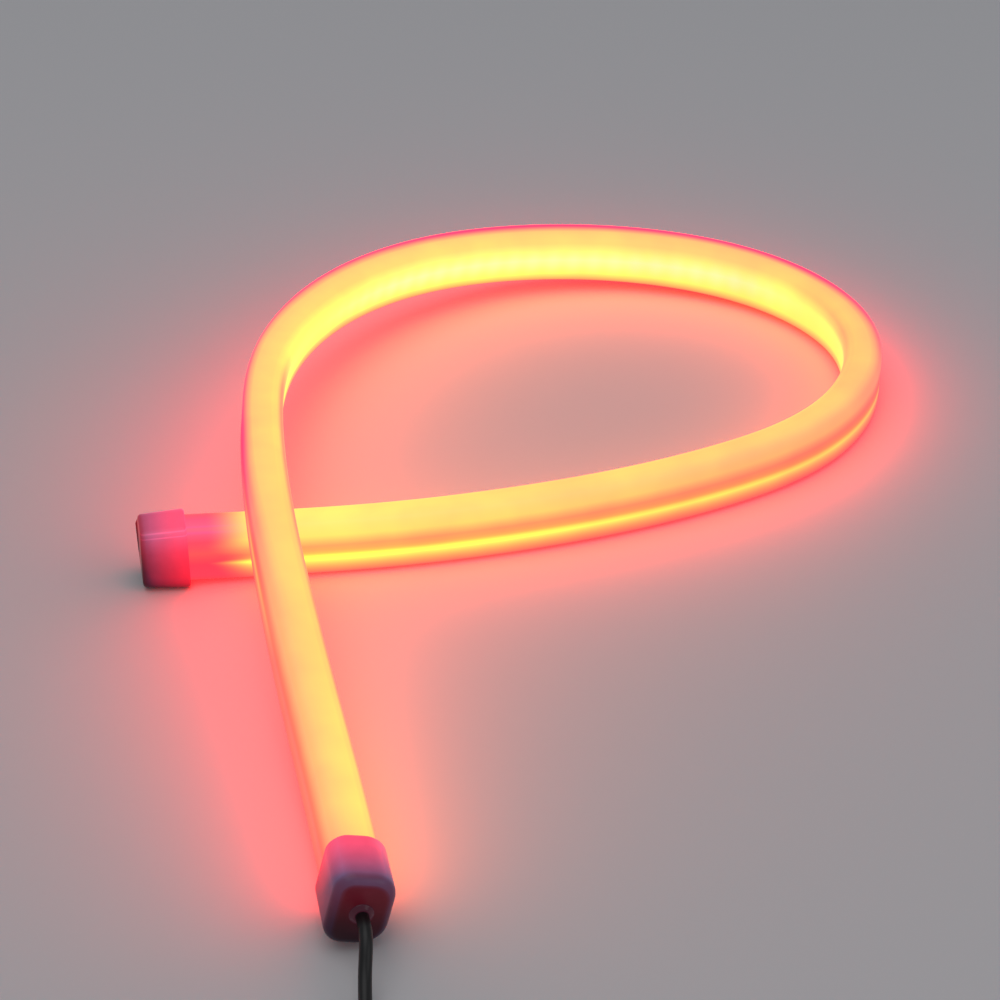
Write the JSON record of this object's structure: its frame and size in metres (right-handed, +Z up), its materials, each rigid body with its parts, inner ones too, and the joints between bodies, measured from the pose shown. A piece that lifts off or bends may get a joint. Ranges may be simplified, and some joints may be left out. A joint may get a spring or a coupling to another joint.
{
  "type": "led strip light",
  "caption": "Flexible silicone light strip laid in a loop that crosses over itself, glowing reddish orange, with a closed end cap, a lead cap and a thin black lead.",
  "frame": {"origin": "centre of the footprint of the strip and its caps, on the floor; the lead is not counted", "axes": "+Z up from the floor, +Y away from the lead end along the longer side of the loop, +X away from the closed end"},
  "size_m": [0.1512, 0.2794, 0.0255],
  "materials": {
    "milky_silicone": "milky and translucent, satin, glowing reddish orange when lit",
    "cap_silicone": "milky and translucent, satin",
    "board_white": "matte",
    "clear_sealant": "clear, glossy",
    "black_jacket": "satin",
    "core_red": "satin",
    "core_black": "satin",
    "tinned_copper": "tinned"
  },
  "bodies": {
    "root": {"silicone_tube": "milky_silicone", "led_board": "board_white", "end_cap": "cap_silicone", "lead_cap": "cap_silicone", "sealant_bead": "clear_sealant", "lead_run": "black_jacket", "lead_coil": "black_jacket", "lead_tail": "black_jacket", "lead_core_a": "core_red", "lead_core_b": "core_black", "lead_tip_a": "tinned_copper", "lead_tip_b": "tinned_copper"}
  },
  "joints": []
}
